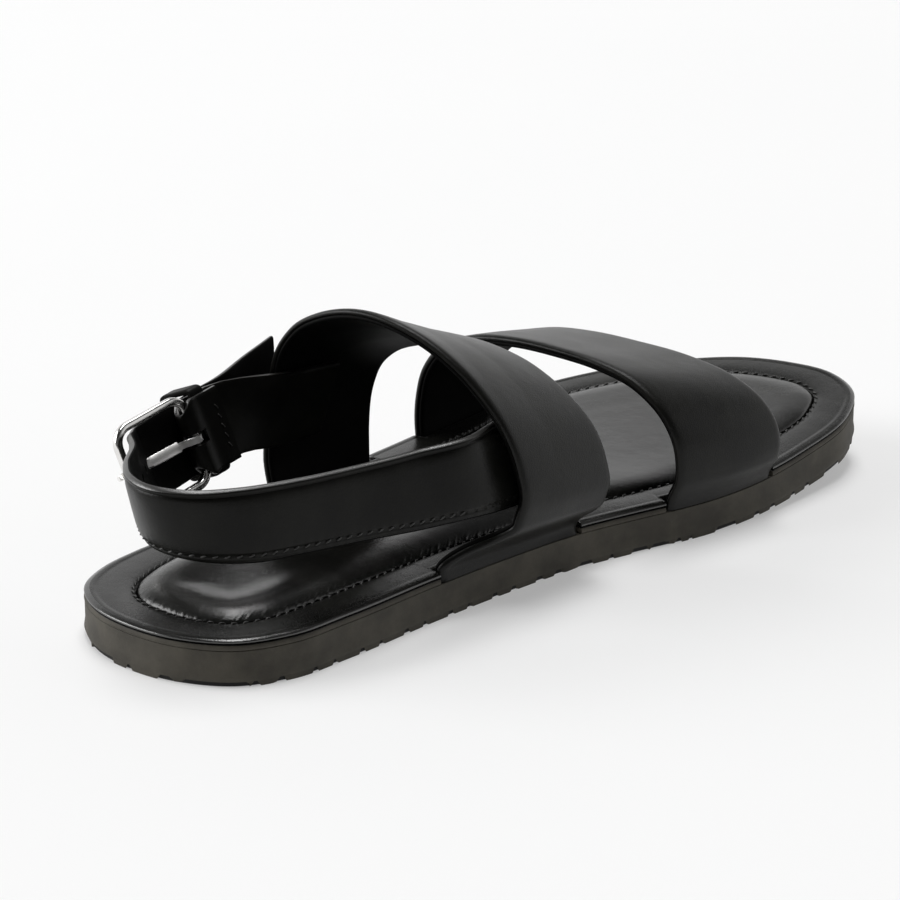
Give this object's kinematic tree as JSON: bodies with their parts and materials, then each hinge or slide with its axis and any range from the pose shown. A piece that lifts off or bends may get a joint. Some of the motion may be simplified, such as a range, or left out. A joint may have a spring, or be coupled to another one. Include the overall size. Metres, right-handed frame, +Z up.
{
  "type": "leather sandal",
  "caption": "Flat left-foot leather sandal with a wide toe strap, a wide instep strap and a buckled back strap, on a padded footbed and a low lugged rubber sole.",
  "frame": {"origin": "middle of the shoe's box, on the floor plane under the sole", "axes": "+Z up, toe toward -Y, heel toward +Y, outer side of the foot toward +X; the length lies along Y"},
  "size_m": [0.111, 0.2836, 0.0808],
  "materials": {
    "sole_rubber": "matte, fine ribbed tread",
    "footbed_leather": "smooth with a soft sheen and fine grain",
    "pad_leather": "smooth with a soft sheen and fine grain",
    "strap_leather": "smooth with a soft sheen and fine grain",
    "toe_strap_leather": "smooth with a soft sheen and fine grain",
    "heel_strap_leather": "smooth with a soft sheen and fine grain",
    "buckle_strap_leather": "smooth with a soft sheen and fine grain",
    "keeper_leather": "smooth with a soft sheen and fine grain",
    "frame_metal": "polished",
    "prong_metal": "polished"
  },
  "bodies": {
    "root": {"outsole": "sole_rubber", "footbed": "footbed_leather", "insole_pad": "pad_leather", "instep_strap": "strap_leather", "toe_strap": "toe_strap_leather", "heel_strap": "heel_strap_leather", "buckle_strap": "buckle_strap_leather", "strap_keeper": "keeper_leather", "buckle_frame": "frame_metal", "buckle_prong": "prong_metal"}
  },
  "joints": []
}
